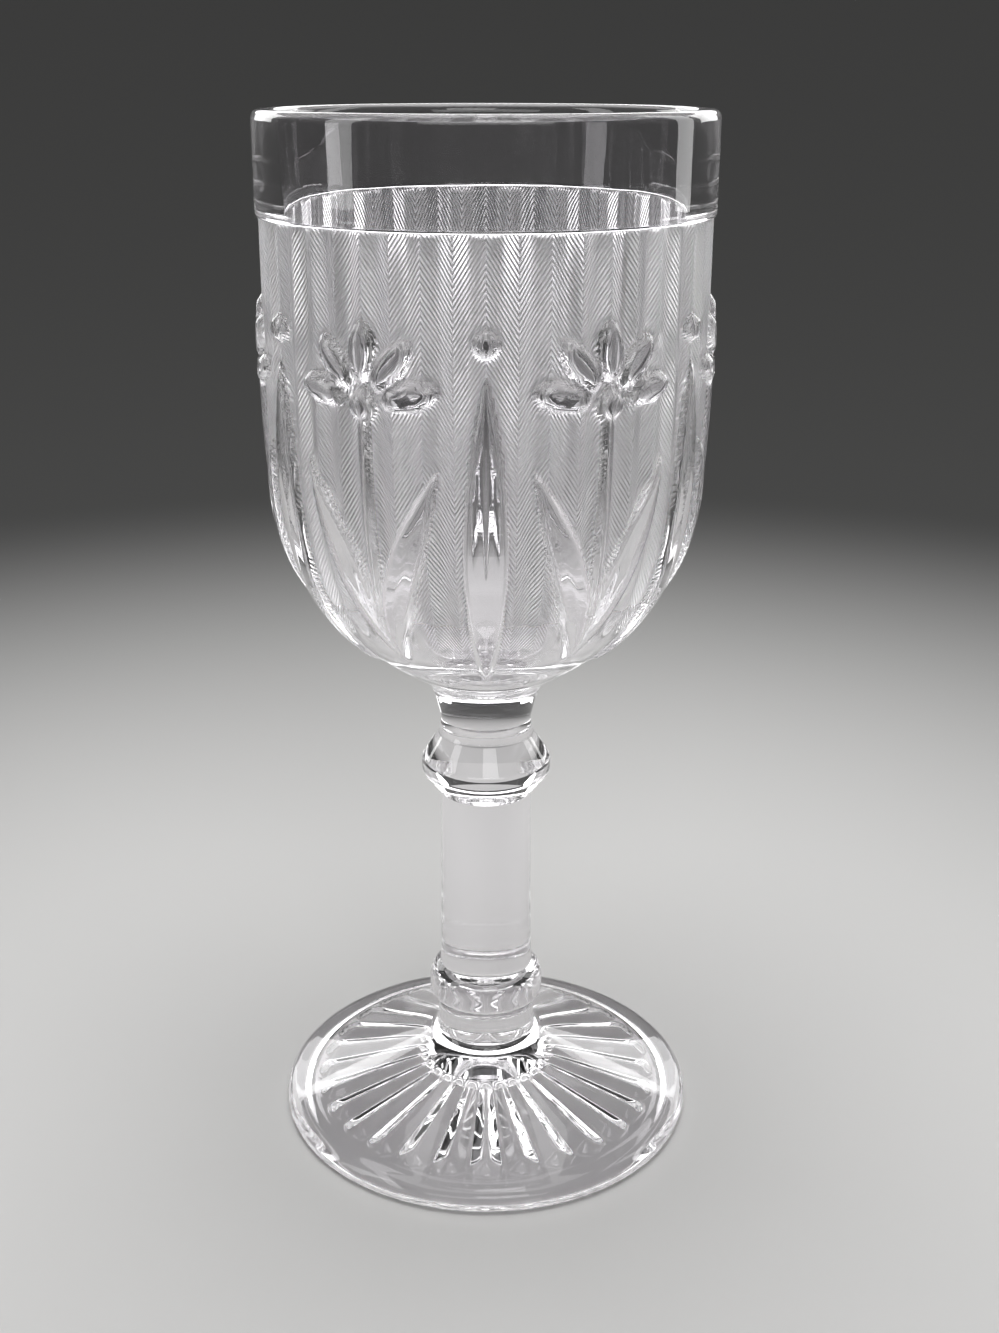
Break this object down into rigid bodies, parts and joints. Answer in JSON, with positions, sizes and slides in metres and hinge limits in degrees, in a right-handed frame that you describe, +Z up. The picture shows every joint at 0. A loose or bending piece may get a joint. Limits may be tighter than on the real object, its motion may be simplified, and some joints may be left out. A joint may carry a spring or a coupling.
{
  "type": "wine goblet",
  "caption": "Stemmed pressed-glass wine goblet: deep bowl with a plain rim band, ribbed sides and raised sprigs, on a knopped stem with a spreading rayed foot.",
  "frame": {"origin": "centre of the base, on the plane that the foot stands on", "axes": "+Z up the stem to the rim, the front of the goblet faces -Y"},
  "size_m": [0.059, 0.059, 0.14],
  "materials": {
    "clear_glass": "colourless pressed soda-lime glass, fire-polished"
  },
  "bodies": {
    "root": {"foot": "clear_glass", "stem_ring": "clear_glass", "stem_shaft": "clear_glass", "stem_knop": "clear_glass", "stem_neck": "clear_glass", "bowl": "clear_glass"}
  },
  "joints": []
}
